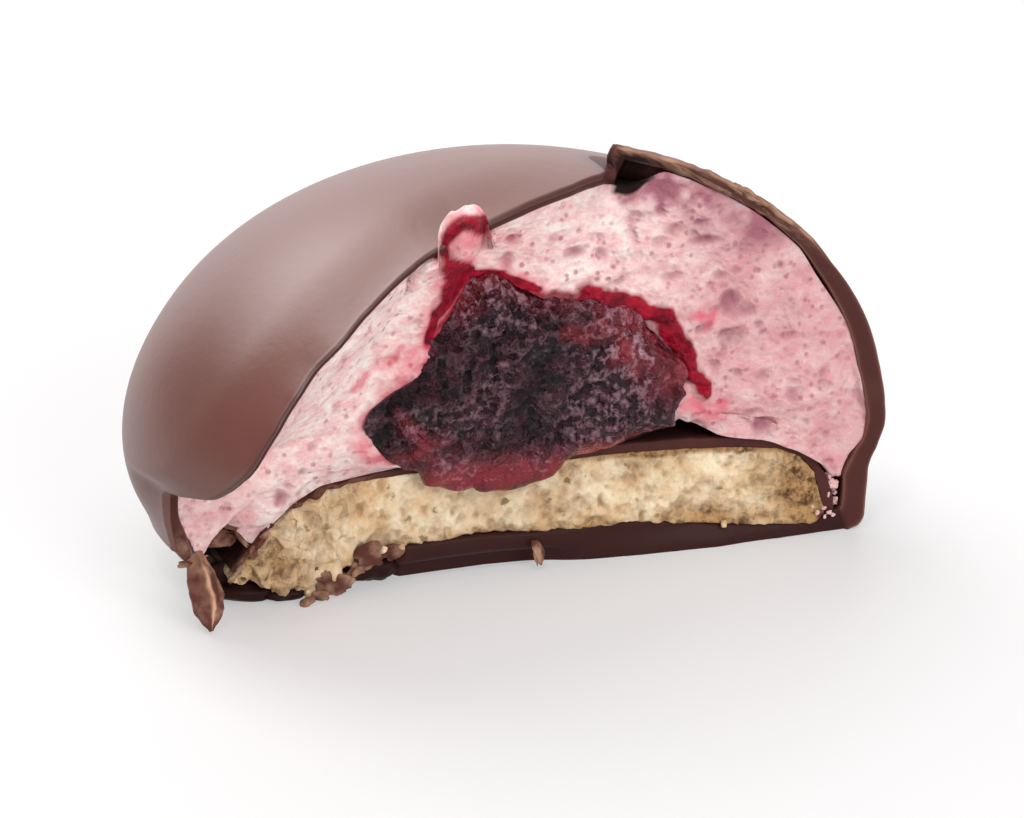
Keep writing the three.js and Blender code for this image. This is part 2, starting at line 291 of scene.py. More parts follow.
def seen_at(points):
    """The place on the plane of the cut against which each point is seen from the photograph's side."""
    part = SEEN_FROM[1] / (SEEN_FROM[1] - points[:, 1])
    return mix(SEEN_FROM[0], points[:, 0], part), mix(SEEN_FROM[2], points[:, 2], part)


def coat_lift(around, past_cut):
    """The cut edge rolls inward on the tongue, thins there, and stands off where the coat came loose."""
    curl = -1.0 * band(around, (75, 112, 158, 170)) * (1 - smooth(0, 11, past_cut))
    fade = 1 - smooth(0.5, mix(15, 3.8, band(around, LOOSE_COAT)), past_cut)
    outside = curl + fade * np.interp(around, LIFT_AROUND, LIFT_OUTSIDE)
    inside = curl + fade * np.interp(around, LIFT_AROUND, LIFT_INSIDE)
    return outside, inside


def broken_away(points):
    """At the bottom left the coat is broken off: how far back, and the reach that is left there."""
    x, y, z = points.T
    back = 6.5 * smooth(-9.8, -12.6, x) * smooth(5.7, 4.7, z) * (1 - smooth(0, 13, y))
    bearing = np.degrees(np.arctan2(y + back, x))
    side = smooth(118, 150, np.where(bearing < -90, bearing + 360, bearing))
    return back, 32 - side * (1.8 + 0.72 * np.clip(6.6 - z, 0, 6.6))


def columns_of(bands):
    """Angles round the cut face, in bands of a start, an end and a count."""
    return np.concatenate([np.linspace(start, end, count, endpoint=False) for start, end, count in bands])


def matt_where(mesh, values, limit):
    """Gives the second material to the four-sided faces whose corners average more than the limit."""
    corners = np.zeros(len(mesh.loops), dtype=np.int32)
    mesh.loops.foreach_get("vertex_index", corners)
    mean = np.asarray(values)[corners.reshape(-1, 4)].mean(axis=1)
    mesh.polygons.foreach_set("material_index", (mean > limit).astype(np.int32))


def mesh_from(name, work):
    mesh = bpy.data.meshes.new(name)
    work.to_mesh(mesh)
    work.free()
    return mesh


def add_object(name, data):
    made = bpy.data.objects.new(name, data)
    bpy.context.scene.collection.objects.link(made)
    return made


def finish_mesh(name, mesh, *materials):
    """Merges doubles, turns the faces outward, smooths them and makes the piece."""
    work = bmesh.new()
    work.from_mesh(mesh)
    bmesh.ops.remove_doubles(work, verts=work.verts, dist=MERGE_WITHIN)
    bmesh.ops.recalc_face_normals(work, faces=work.faces)
    for face in work.faces:
        face.smooth = True
    work.to_mesh(mesh)
    work.free()
    piece = add_object(name, mesh)
    for material in materials:
        mesh.materials.append(material)
    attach(piece, "root")
    return piece


def points_of(mesh):
    place = np.zeros(len(mesh.vertices) * 3, dtype=np.float32)
    mesh.vertices.foreach_get("co", place)
    return place.reshape(-1, 3).astype(float)


def set_points(mesh, points):
    mesh.vertices.foreach_set("co", ((points + MOVE) * MM).astype(np.float32).ravel())


def paint(mesh, name, values):
    """Keeps a number from 0 to 1 for each point, which the materials read by name."""
    layer = mesh.attributes.new(name, "FLOAT", "POINT")
    layer.data.foreach_set("value", clamp(values).astype(np.float32))


def wrapped_grid(name, columns, rows):
    """A grid to be closed round a form, with the row and the column angle of each of its points."""
    work = bmesh.new()
    bmesh.ops.create_grid(work, x_segments=len(columns), y_segments=rows, size=1)
    mesh = mesh_from(name, work)
    place = points_of(mesh)
    row = np.rint((1 - place[:, 1]) / 2 * rows).astype(int)
    column = np.rint((place[:, 0] + 1) / 2 * len(columns)).astype(int)
    around = columns[column % len(columns)]
    return mesh, row, np.where((row == 0) | (row == rows), 90.0, around)


def turn_at(cut, part):
    """Turn of a row between the cut and the back: a fifth of the rows share the first six degrees."""
    near = 6 * clamp(part / 0.2)
    return cut + near + (84 - cut) * clamp((part - 0.2) / 0.8) ** 1.2


def make_coat(material, matt):
    columns = columns_of([(180, 176, 12), (176, 155, 60), (155, 80, 150), (80, 77, 16), (77, 75, 14),
                          (75, 30, 110), (30, 4, 44), (4, 0, 8), (0, -180, 220)])
    outside, edge, inside = 84, 12, 30
    rows = outside + edge + inside
    mesh, row, around = wrapped_grid("chocolate_coat", columns, rows)
    cut = np.where((row == 0) | (row == rows), 0, cut_turn(around))
    part = np.where(row <= outside, 1 - row / outside, clamp((row - outside - edge) / inside))
    across = clamp((row - outside) / edge)
    turn = turn_at(cut, part)
    past = turn - cut
    lift_out, lift_in = coat_lift(around, past)
    outer = on_body(outer_profile, around, turn, lift_out)
    inner = on_body(hollow_profile, around, turn, lift_in)

    # At the front the base coat reaches up to the biscuit
    under = around < 0
    x, y, z = inner.T
    top = np.interp(x, BISCUIT_FOOT[0] + [27.8], BISCUIT_FOOT[1] + [2.1]) - COAT_ROOM
    top = np.where(x < -11, BASE_COAT, top)
    z += under * (top - BASE_COAT) * (1 - smooth(0, 7, y)) * smooth(-29, -26, x)

    # The cut edge is nearly flat, and round on the tongue
    tongue = band(around, TONGUE)
    rounded = (1 - np.cos(np.pi * across)) / 2
    points = mix(outer, inner, mix(across, rounded, tongue)[:, None])
    x, y, z = points.T
    thick = np.linalg.norm(outer - inner, axis=1)
    bulge = np.sin(np.pi * across)
    y -= mix(0.14 * bulge**0.4, 0.5 * thick * bulge, tongue)

    # Where it snapped it is torn in flakes, most of all along the lifted flap
    near = 1 - smooth(0, 5, past)
    broken = np.maximum(bump(around, 61, 8), 0.5 * band(around, FLAP))
    broken = broken + 0.4 * bump(around, 157, 2) + 0.6 * bump(around, 172, 5)
    broken = clamp(broken) * (1 - under)
    y += near * band(around, (0, 6, 168, 178)) * 0.22 * soft_noise(on_plane(around / 5, 0 * around), 1.0, 3)
    flakes = points + 0.6 * shaken(soft_noise, points, 2.2, 15)
    y += near * (0.04 + 0.5 * broken * (0.3 + bulge)) * noise(flakes, 1.3, 5)
    z += near * 0.22 * broken * noise(flakes, 0.9, 8, 2)
    standing = band(around, FLAP_CORNER)
    y += near * standing * (0.9 - 0.5 * across)
    x -= 1.1 * near * standing**2 * (1 - across)

    # The underside's front is uneven, and the foot at the bottom left is broken off
    base = np.interp(x, *UNDERSIDE) * (1 - smooth(0, 8, y + 1))
    y += under * base * (1 - smooth(0.2, 2.4, z))
    y += under * 0.9 * band(x, (-14, -11, 0, 7)) * (1 - smooth(0, 2, y)) * smooth(1.7, 1.0, z)
    back, most = broken_away(points)
    crumble = (back > 0.3) * (1 - smooth(0, 4, past)) * (z < 5)
    y += back + crumble * 0.8 * noise(points, 1.6, 13)
    reach = np.maximum(np.hypot(x, y), 1)
    points[:, :2] *= np.where(z < 6.6, np.minimum(most / reach, 1), 1)[:, None]
    x -= 0.5 * bump(z, 13, 6) * smooth(-22, -29, x) * (row < outside)
    z[:] = np.maximum(z, 0)
    set_points(mesh, points)

    # What the materials need to know: where it is snapped, sliced or flaked, where a pale line is painted
    # along the snapped edge as its highlight, and where deep shade is painted dark
    step = clamp(2 * bump(around, 76.6, 1.6)) * (1 - smooth(5, 9, past))
    cut_face = clamp(np.maximum(bulge * 1.5, step))
    low_front = under * (1 - smooth(4, 8, y))
    # A pale line painted as the highlight along the flap's snapped edge and along the wall's broken edge at
    # the left, made uneven by noise
    lip = bump(across, 0.12, 0.12) * (row >= outside) * band(around, (44, 52, 75, 76))
    foot_lip = bump(z, 5.0, 0.35) * smooth(-26, -28, x) * (y < 1.5)
    uneven = 0.75 + 0.6 * noise(points, 1.1, 17, 2)
    # Painted shade: the base's front, the inside of the coat behind the broken foot and the notch under the
    # flap are darkened where shade falls
    hidden = (row > outside + edge) * smooth(-18, -21, x) * smooth(9, 6, z)
    under_notch = smooth(0.35, 0.7, across) * bump(around, 74.0, 3.8) * (1 - smooth(4, 7, past))
    dark = highest(0.5 * low_front * smooth(-12, -9, x), 0.9 * hidden, 0.95 * under_notch)
    paint(mesh, "broken", clamp(bulge * 1.3) * clamp(broken + 0.5 * (back > 0.5)))
    paint(mesh, "cut", np.maximum(cut_face, low_front))
    paint(mesh, "layered", band(around, FLAP_LAYERS))
    paint(mesh, "pale_and_highlight", np.maximum(0.6 * lip, 0.8 * foot_lip) * uneven)
    paint(mesh, "painted_shade", dark)
    matt_where(mesh, np.maximum(cut_face * (1 - tongue * (1 - across)), low_front), 0.45)
    piece = finish_mesh("chocolate_coat", mesh, material, matt)
    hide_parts("shell")


def make_flake(material):
    """The leaf-shaped flake of wall that hangs, snapped, from the left end of the cut."""
    work = bmesh.new()
    bmesh.ops.create_cube(work, size=2)
    bmesh.ops.subdivide_edges(work, edges=work.edges, cuts=39, use_grid_fill=True)
    mesh = mesh_from("snapped_flake", work)
    unit = points_of(mesh)
    flank, along = unit[:, 0], (1 - unit[:, 1]) / 2
    top, tip = np.array([-28.35, -1.7, 5.7]), np.array([-28.0, -5.7, 0.4])
    down = (tip - top) / np.linalg.norm(tip - top)
    side = np.cross(down, [0.2, -1.0, 0.0])
    side /= -np.linalg.norm(side)
    out = np.cross(side, down)
    out *= -np.sign(out[1])
    half = np.interp(along, [0, 0.15, 0.35, 0.55, 0.75, 0.9, 1], [0.7, 0.85, 1.25, 1.5, 1.15, 0.6, 0.1])
    fold = 0.75 * (1 - np.abs(flank - 0.1)) * np.sin(np.pi * clamp(along + 0.1))
    depth = unit[:, 2] * 0.42 * (1 - 0.4 * np.abs(flank)) * (1 - 0.45 * along) + fold
    points = top + (tip - top) * along[:, None] + side * (flank * half)[:, None] + out * depth[:, None]
    points += side * (0.35 * np.sin(np.pi * along))[:, None]
    points += 0.16 * shaken(noise, points, 1.2, 21)
    points[:, 2] = np.maximum(points[:, 2], 0.02)
    set_points(mesh, points)
    pale = bump(flank, 0.1, 0.18) + 0.9 * (1 - smooth(0.1, 0.4, along)) + 0.75 * smooth(0.15, 0.4, flank)
    paint(mesh, "broken", pale + 0.5 * noise(points, 0.8, 25, 2))
    paint(mesh, "cut", 0.4 * smooth(0.2, -0.2, flank))
    # A pale highlight painted along the fold's ridge and over the flake's top, flecked unevenly
    fleck = noise(points, 0.7, 27, 2)
    light = np.maximum(bump(flank, 0.08, 0.13) * (0.9 + 0.5 * fleck), 0.4 - 0.4 * smooth(0.1, 0.4, along))
    paint(mesh, "pale_and_highlight", light + 0.05 + 0.15 * fleck)
    piece = finish_mesh("snapped_flake", mesh, material)
    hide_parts("shell")


def make_bits(name, material, bits, jagged, pale=0.5, painted_shade=0.0):
    """Crumbs and shards: each has a middle, three half sizes and a turn in the cut's plane."""
    work = bmesh.new()
    for number, (x, y, z, wide, deep, tall, turn) in enumerate(bits):
        made = bmesh.ops.create_icosphere(work, subdivisions=4, radius=1)["verts"]
        unit = np.array([vert.co for vert in made])
        shift = np.array([number * 9.7, 3.1, 0.0])
        swell = 1 + jagged * noise(unit + shift, 0.9, 101)
        lump, _ = grains(unit + shift, 0.8, 102)
        shaped = unit * (swell * (1.12 - 0.35 * jagged * lump))[:, None] * [wide, deep, tall]
        spin = math.radians(turn)
        for vert, (u, v, w) in zip(made, shaped):
            side = x + u * math.cos(spin) - w * math.sin(spin)
            high = z + u * math.sin(spin) + w * math.cos(spin)
            vert.co = (side, y + v, max(high, 0.02))
    mesh = mesh_from(name, work)
    points = points_of(mesh)
    set_points(mesh, points)
    patch = noise(points, 0.9, 103, 2)
    # Each bit gets a plain and a patchy share of each painted number; of these, the given shade amount
    # darkens the whole bit as painted shade, and the crevice number lays painted shade in patches
    for attribute, plain, patchy in (
        ("broken", pale, 0.6), ("cut", 1 - pale, 0), ("pale_and_highlight", 0.3 * pale, 0.6 * pale),
        ("painted_shade", painted_shade, 0), ("toasted", 0.3, 1), ("crevice_shade", 0, 0.3), ("blush", 0, 0.2), ("rosy", 0.4, 0),
    ):
        paint(mesh, attribute, plain + patchy * patch)
    piece = finish_mesh(name, mesh, material)


# The jam's outline on the cut face: the angle from the right over the top, then the reach from its middle
JAM_OUTLINE = ([-180, -174, -166, -159, -152, -145, -138, -129, -117, -93, -71, -63, -45, -32, -22, -16,
                -4, 6, 19, 31, 41, 51, 59, 77, 95, 104, 112, 118, 124, 135, 147, 158, 169, 174, 180],
               [13.1, 13.8, 13.6, 12.8, 11.8, 11.0, 11.5, 10.8, 9.2, 8.4, 8.4, 8.0, 9.0, 10.9, 13.1, 13.5,
                13.6, 13.2, 11.9, 11.1, 10.1, 9.2, 8.2, 8.1, 9.1, 10.2, 10.9, 10.9, 10.5, 9.9, 9.7, 9.2, 9.9,
                11.3, 13.1])


def jam_reach(angle):
    """How far the jam's outline lies from its middle at an angle on the cut face."""
    calm = smooth(180, 165, np.abs(angle))
    return np.interp(angle, *JAM_OUTLINE) + 0.3 * calm * noise(on_plane(angle, 0 * angle), 14, 33)


def jam_edge(angle, inset):
    """The jam's outline drawn in a little, along the cut and up, and its reach."""
    reach = jam_reach(angle) - inset
    return reach * np.cos(np.radians(angle)), reach * np.sin(np.radians(angle)), reach


def jam_mouth(angle):
    """How far forward the marshmallow meets the jam, by the angle on the cut face."""
    return -0.9 - 1.2 * bump((angle - 165 + 540) % 360 - 180, 0, 45) + 0.5 * bump(angle, 5, 40)


# How deep a torn bubble is for each millimetre of its radius
BUBBLE_DEPTH = 0.55
# Bubbles large enough to pick out on the cut face: x, z, radius, stretch and slant
BIG_BUBBLES = [
    (18.1, 18.6, 1.25, 1.15, 0.1), (18.0, 21.4, 1.15, 1.1, 0.2), (18.5, 24.2, 0.6, 1.4, 0.1),
    (13.3, 24.4, 0.7, 1.5, 0.0), (15.5, 27.1, 0.9, 1.9, -0.1), (23.5, 12.7, 0.8, 1.2, 0.3),
    (23.3, 17.7, 0.45, 1.2, 0.4), (15.9, 19.5, 0.6, 1.2, 0.6), (20.0, 11.8, 0.6, 1.3, 0.1),
    (12.3, 31.6, 1.5, 1.5, -0.35), (15.4, 30.6, 0.8, 1.3, -0.5), (26.4, 14.2, 0.5, 1.3, 1.2),
    (20.6, 27.0, 0.6, 1.3, -0.6), (-16.5, 17.5, 0.5, 1.1, 1.2), (-13.6, 22.4, 0.45, 1.3, 1.0),
    (-25.6, 9.4, 0.7, 1.1, 0.4), (-19.0, 11.5, 0.55, 1.3, 0.2),
]


def foam_pores(flat):
    """Depth of the torn foam's pores: packed bubbles of three sizes, pulled out of round."""
    bent = flat * [1, 0, 1.3] + 0.5 * on_plane(soft_noise(flat, 1.5, 141), soft_noise(flat, 1.5, 142))
    right = smooth(-12, 10, flat[:, 0])
    dug = np.zeros(len(flat))
    for size, share, seed in ((2.6, 0.3, 151), (1.35, 0.5, 152), (0.75, 0.6, 153)):
        away, number = grains(bent, size, seed)
        radius = 0.5 * np.sqrt(np.clip(1 - number / (share * mix(0.6, 1.1, right)), 1e-4, 1))
        dug = np.maximum(dug, 0.5 * size * radius * clamp(1 - (away / radius) ** 2))
    for x, z, radius, stretch, slant in BIG_BUBBLES:
        dx, dz = bent[:, 0] - x, bent[:, 2] / 1.3 - z
        u = (dx * np.cos(slant) + dz * np.sin(slant)) / stretch
        v = (dz * np.cos(slant) - dx * np.sin(slant)) * stretch
        dug = np.maximum(dug, BUBBLE_DEPTH * radius * clamp(1 - (u * u + v * v) / (radius * radius)))
    return dug


def near_stroke(x, z, strokes, stray=0.45):
    """How close a point is to any ragged stroke, given by two ends and a width: 1 on it, 0 past its width."""
    place = on_plane(x, z)
    x = x + stray * noise(place, 1.6, 171)
    z = z + stray * noise(place, 1.6, 175)
    total = np.zeros(len(x))
    for x1, z1, x2, z2, width in strokes:
        length = (x2 - x1) ** 2 + (z2 - z1) ** 2
        part = clamp(((x - x1) * (x2 - x1) + (z - z1) * (z2 - z1)) / length)
        away = np.hypot(x - mix(x1, x2, part), z - mix(z1, z2, part))
        total = np.maximum(total, 1 - smooth(0.2 * width, width, away))
    return total


# Strokes of juice as seen on the plane of the cut: round the torn peak and down its left to the jam
JUICE_STROKES = [
    (-2.9, 30.9, -3.0, 30.1, 0.75), (-3.0, 30.3, -4.0, 30.8, 1.1), (-4.0, 30.8, -4.8, 30.8, 1.15),
    (-4.8, 30.7, -5.7, 30.3, 1.05), (-5.7, 30.3, -6.2, 29.6, 0.9), (-6.2, 29.6, -6.4, 28.6, 0.65),
    (-6.2, 28.4, -5.9, 27.4, 0.6), (-5.9, 27.4, -4.0, 26.6, 0.9), (-5.8, 27.1, -5.0, 26.0, 1.25),
    (-5.0, 26.0, -5.7, 25.2, 1.15), (-5.7, 25.2, -6.2, 24.4, 1.0), (-6.2, 24.4, -7.0, 23.4, 0.85),
    (-7.0, 23.4, -7.6, 21.0, 0.6), (-4.0, 26.4, -1.4, 25.9, 0.75), (-1.4, 25.9, 1.6, 24.3, 0.6),
]
# The torn peak of marshmallow: where it stands, how wide it is, and how far it rises and leans out
PEAK_MIDDLE = -7.1
PEAK_HALF_WIDTH = 2.5
PEAK_RISE = 4.5
PEAK_FORWARD = 3.0
PEAK_DEPTH = 2.8
# Places where the marshmallow beside the jam is tinged with juice
FOAM_BLUSHES = [
    (-13.6, 13, -9.6, 20, 2.4), (-14.6, 18.8, -11, 21.5, 1.0), (14.4, 13.0, 17.0, 12.2, 1.4),
    (16.4, 20.4, 15.4, 20.8, 0.8), (12.4, 14.0, 14.2, 16.2, 1.4),
]
# The arm of jam that curls out over the foam on the right
JAM_ARM = [(5.3, 23.9, 9.6, 22.2, 1.3), (9.6, 22.2, 12.2, 20.6, 1.4), (12.2, 20.6, 14.0, 18.0, 1.35),
           (14.0, 18.0, 15.6, 14.6, 1.2)]
# Where the jam is wine red, and where a pale haze is painted on its lower lip as reflected light
WINE_STROKES = [(-10.5, 11, -7.5, 12.5, 2.0), (-10.8, 15.6, -9.3, 13.0, 1.1), (8.5, 19, 11.5, 16, 2.4),
                (0.0, 8.6, 3.4, 10.4, 1.6), (3.6, 21.5, 8.0, 20.6, 1.4)]
PAINTED_HAZE_STROKES = [(-7.6, 11.2, -5.4, 9.4, 1.8), (1.0, 11.5, 1.6, 9.6, 0.8), (4.5, 10.8, 7.5, 11.2, 1.2)]


def torn_peak(x, z, out):
    """The foam rises over the coat's edge in a torn peak, and tucks back under the coat behind it."""
    ragged = noise(on_plane(x, z), 1.5, 115)
    across = clamp(1 - ((x - PEAK_MIDDLE + 0.3 * ragged) / PEAK_HALF_WIDTH) ** 2) ** 0.4
    rooted = clamp(1 - ((x - PEAK_MIDDLE + 0.4) / (PEAK_HALF_WIDTH + 1.2)) ** 2) ** 0.4
    along = clamp((out - 0.55) / 0.45)
    top_only = smooth(22, 26, z)
    rise = np.sin(np.pi * along**1.5) ** 0.9 * top_only
    back = band(along, (0.5, 0.78, 0.88, 1.0)) * top_only
    lean = band(along, (0, 0.4, 0.88, 1.0)) * top_only
    lump = 1 + 0.16 * ragged
    forward = PEAK_FORWARD * rooted * lean * lump - PEAK_DEPTH * across * back
    high = PEAK_RISE * across * smooth(0.25, 0.95, rise) * lump
    return np.stack([0.25 * across * rise * ragged, -forward, high], -1)


def make_marshmallow(material):
    columns = columns_of([(180, 176, 8), (176, 149, 64), (149, 68, 190), (68, 22, 110), (22, 4, 40),
                          (4, 0, 8), (0, -180, 170)])
    back, face, pocket = 12, 138, 10
    rows = back + face + pocket
    mesh, row, around = wrapped_grid("marshmallow_foam", columns, rows)
    inset = 0.2 * smooth(0, 20, np.minimum(np.abs(around), 180 - np.abs(around)))
    cut = np.where((row == 0) | (row == rows), 0, cut_turn(around) + inset)
    turn = turn_at(cut, clamp(1 - row / back))
    _, lift = coat_lift(around, turn - cut)
    under_flap = band(around, (38, 50, 70.5, 74.5)) * np.maximum(lift - 0.1, 0)
    lift = np.where((around > 30) & (around < 76.3), under_flap, lift)
    lift = np.where(around > 157, np.minimum(lift, 0.2), lift)
    rim = on_body(marshmallow_profile, around, turn, np.where(around > 0, lift, 0))
    rim_x, rim_y, rim_z = rim.T
    plain = film_height(np.abs(rim_x)) + FILM_ROOM
    low_wall = (1 - smooth(0, 5, rim_z - plain)) * (1 - smooth(0, 8, rim_y))
    rim_z += (np.interp(rim_x, *FOAM_FOOT) - np.minimum(plain, 9.5)) * low_wall

    angle = np.degrees(np.arctan2(rim_z - JAM_MIDDLE[1], rim_x - JAM_MIDDLE[0]))
    edge_x, edge_z, _ = jam_edge(angle, JAM_ROOM)
    mouth = jam_mouth(angle)
    out = clamp(1 - (row - back) / face)
    low_rim = 1 - smooth(9, 20, rim_z)
    climb = mix(1, 4, low_rim)
    x = mix(JAM_MIDDLE[0] + edge_x, rim_x, out)
    z = mix(JAM_MIDDLE[1] + edge_z, rim_z, out**climb)
    hang = low_rim * band(rim_x, (15, 18, 26, 27.5))
    y = mix(mouth, rim_y - 1.3 * hang, out**2.2)
    flat = np.stack([x, y, z], -1)
    on_face = (row >= back) & (row <= back + face)
    settle = (1 - out ** mix(12, 50, low_rim)) * smooth(0, 0.05 - 0.035 * low_rim, 1 - out)
    ridge = 2.1 * bump(x, mix(-8.4, -6.9, smooth(22, 31, z)), 1.7) * smooth(20, 27, z) * (1 - out**14)
    tear = 0.5 * noise(flat, 5.0, 41, 2) + 0.22 * noise(flat * [1, 0, 1.4], 1.7, 45)
    dug = foam_pores(flat) * mix(0.25, 1, settle)
    arm = near_stroke(x, z, JAM_ARM) * on_face
    y = y + tear * settle - ridge + dug * (1 - arm) - 0.7 * np.sqrt(arm) * settle
    y = y - arm * 0.35 * noise(flat, 0.9, 47, 2)
    face_points = np.stack([x, y, z], -1) + torn_peak(x, z, out)

    deep = np.radians(clamp((row - back - face) / pocket) * 90)
    end = [JAM_MIDDLE[0], JAM_BACK + 0.1, JAM_MIDDLE[1]]
    hollow = np.stack([end[0] + edge_x * np.cos(deep), mix(mouth, end[1], np.sin(deep)),
                       end[2] + edge_z * np.cos(deep)], -1)
    points = np.where((row > back)[:, None], face_points, rim)
    points = np.where((row > back + face)[:, None], hollow, points)
    floor = mix(film_height(np.abs(points[:, 0])) + 0.06, np.interp(points[:, 0], *FOAM_FOOT),
                1 - smooth(0, 8, points[:, 1]))
    points[:, 2] = np.where(row > back, np.maximum(points[:, 2], floor), points[:, 2])
    points[row == rows] = end
    set_points(mesh, points)

    ragged = noise(flat, 1.3, 51)
    seen_x, seen_z = seen_at(points)
    juice = near_stroke(seen_x, seen_z, JUICE_STROKES, 0.16)
    juice = clamp(juice * 1.6 + 0.3 * ragged * smooth(0.05, 0.5, juice) - 0.1)
    beside = 0.9 * (1 - smooth(0.03, 0.1, out)) * band(angle, (40, 60, 135, 155))
    juice = highest(juice, clamp(arm * 1.8), beside)
    glow = bump(seen_x, 0.4, 3.6) * bump(seen_z, 27.6, 2.2)
    near_jam = (1 - smooth(0.0, 0.14, out)) * smooth(40, 120, np.abs(angle))
    near_jam = np.maximum(near_jam, 0.8 * near_stroke(x, z, FOAM_BLUSHES))
    wider = [(*ends, 2.2 * width) for *ends, width in JUICE_STROKES]
    halo = near_stroke(seen_x, seen_z, wider, 0.3)
    inside_peak = near_stroke(seen_x, seen_z, [(-3.6, 29.5, -5.2, 28.8, 1.7)], 0.2)
    blush = np.maximum(0.18 * glow, 0.7 * near_jam + 0.55 * halo)
    # Painted shade on the foam under the lifted flap, laid in with the pores' darker colour
    flap_shade = band(around, (50, 56, 73, 76)) * smooth(0.62, 0.95, out)
    flap_shade = np.maximum(flap_shade, 0.8 * (1 - smooth(0, 3.0, rim_z - z)) * bump(around, 66, 9))
    # Painted shade: the foam's low edge over the film and the notch under the flap are painted near black
    above = z - np.interp(x, *FOAM_FOOT)
    shade = smooth(1.0, 0.5, above) * band(x, (5, 7, 12.6, 13.8)) * (row > back)
    notch = smooth(0.75, 0.35, rim_z - z) * band(around, (71, 72.5, 75.8, 76.4))
    paint(mesh, "painted_shade", np.maximum(shade, notch * (out > 0.5)))
    paint(mesh, "red_juice", juice * (row >= back))
    paint(mesh, "blush", np.maximum(clamp(blush * (0.9 + 0.6 * ragged)), 0.6 * inside_peak) * on_face)
    # The pores are painted darker by their depth, as painted shade in the bubbles, and the shade under the
    # flap is added
    pore_shade = clamp(dug / BUBBLE_DEPTH) * (0.75 + 0.5 * ragged) + flap_shade * (0.85 + 0.5 * ragged)
    paint(mesh, "pore_shade", clamp(pore_shade) * (1 - arm) * on_face)
    rosy = np.maximum(0.58 * smooth(4, 19, x), 0.35 * smooth(-19, -25, x))
    paint(mesh, "rosy", rosy + 0.15 * ragged)
    piece = finish_mesh("marshmallow_foam", mesh, material)
    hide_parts("marshmallow")


def make_jam(material):
    rows = 190
    mesh, row, angle = wrapped_grid("jam_pocket", columns_of([(180, -180, 400)]), rows)
    angle = np.where((row == 0) | (row == rows), 0.0, angle)
    tilt = np.radians(90 - 180 * row / rows)
    edge_x, edge_z, reach = jam_edge(angle, 0)
    mouth = jam_mouth(angle) + JAM_ROOM
    spread = np.where(tilt > 0, np.cos(tilt), np.cos(tilt) ** 0.5)
    x = JAM_MIDDLE[0] + edge_x * spread
    z = JAM_MIDDLE[1] + edge_z * spread
    y = np.where(tilt > 0, mix(mouth, JAM_BACK, np.sin(tilt)), mix(mouth, -JAM_FRONT, -np.sin(tilt)))
    points = np.stack([x, y, z], -1)
    front = smooth(0.12, -0.12, np.sin(tilt))
    bent = points + 0.5 * shaken(soft_noise, points, 1.6, 161)
    lump, _ = grains(bent, 3.0, 3)
    crumb, which = grains(bent, 1.25, 4)
    seed, tint = grains(bent, 0.6, 5)
    swell = 0.9 * (0.55 - lump) + 0.7 * (0.5 - crumb) + 0.34 * (0.5 - seed)
    swell = swell + 0.5 * noise(points, 4.0, 61, 2)
    away = np.stack([(x - JAM_MIDDLE[0]) / 22, np.full(len(x), -0.85), (z - JAM_MIDDLE[1]) / 18], -1)
    away /= np.linalg.norm(away, axis=1)[:, None]
    drip = 1 - smooth(9.5, 12.5, z)
    calm = 0.5 * noise(points, 2.6, 63, 2) + 0.15
    points += away * (mix(swell, calm, drip) * front)[:, None]
    floor = np.interp(points[:, 0], *FILM_LINE) + 0.03
    points[:, 2] = np.where(points[:, 1] > -0.7, np.maximum(points[:, 2], floor), points[:, 2])
    set_points(mesh, points)
    paint(mesh, "crumb", 0.6 * which + 0.4 * tint)
    # Painted shade: the hollows between the lumps are painted near black
    paint(mesh, "hollow", 1.5 * (crumb - 0.35) + 0.8 * (seed - 0.4) + 0.3)
    x, z = points[:, 0], points[:, 2]
    rim = smooth(0.72, 1.0, np.hypot(x - JAM_MIDDLE[0], z - JAM_MIDDLE[1]) / reach)
    wine = highest(
        smooth(12.4, 9.8, z), 0.65 * rim * smooth(-4, 6, x) * smooth(12, 17, z),
        0.7 * rim * smooth(20, 25, z), 0.65 * near_stroke(x, z, WINE_STROKES),
    )
    # Painted glints: pale flecks painted as the light the lumps catch, varying across the jam, strongest at
    # the top where the jam reflects the light, and none low down
    painted_glints = 0.45 + 0.5 * smooth(2, 7, x) - 0.7 * smooth(9.5, 12.5, x) - 0.5 * bump(x, -12, 3)
    painted_glints = painted_glints + 0.5 * noise(points, 3.0, 75, 2) + 0.9 * bump(x, -2.5, 4) * bump(z, 24.8, 2.6)
    # A pale haze painted on the lower lip as reflected light
    painted_haze = 0.75 * near_stroke(x, z, PAINTED_HAZE_STROKES)
    paint(mesh, "painted_glints", np.maximum(clamp(painted_glints) * (1 - smooth(11.5, 9.8, z)), painted_haze))
    paint(mesh, "wine", wine * (1 + 0.6 * noise(points, 1.8, 71)))
    piece = finish_mesh("jam_pocket", mesh, material)
    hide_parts("jam")


def slab(name, places, steps, bottom, top, radius):
    """A layer of the cut: a grid on the cut face, its rim drawn back to the round edge and closed there."""
    drawn = 12
    work = bmesh.new()
    bmesh.ops.create_grid(work, x_segments=len(places) - 1, y_segments=steps, size=1)
    for vert in work.verts:
        x = places[round((vert.co.x + 1) / 2 * (len(places) - 1))]
        vert.co = (x, 0, mix(bottom(x), top(x), (vert.co.y + 1) / 2))
    rim = [edge for edge in work.edges if edge.is_boundary]
    for step in range(1, drawn + 2):
        made = bmesh.ops.extrude_edge_only(work, edges=rim)["geom"]
        rim = [item for item in made if isinstance(item, bmesh.types.BMEdge)]
        for vert in [item for item in made if isinstance(item, bmesh.types.BMVert)]:
            if step > drawn:
                vert.co.z = (bottom(vert.co.x) + top(vert.co.x)) / 2
            else:
                vert.co.y = math.sqrt(max(radius**2 - vert.co.x**2, 0)) * (step / drawn) ** 1.6
    mesh = mesh_from(name, work)
    return mesh, points_of(mesh)


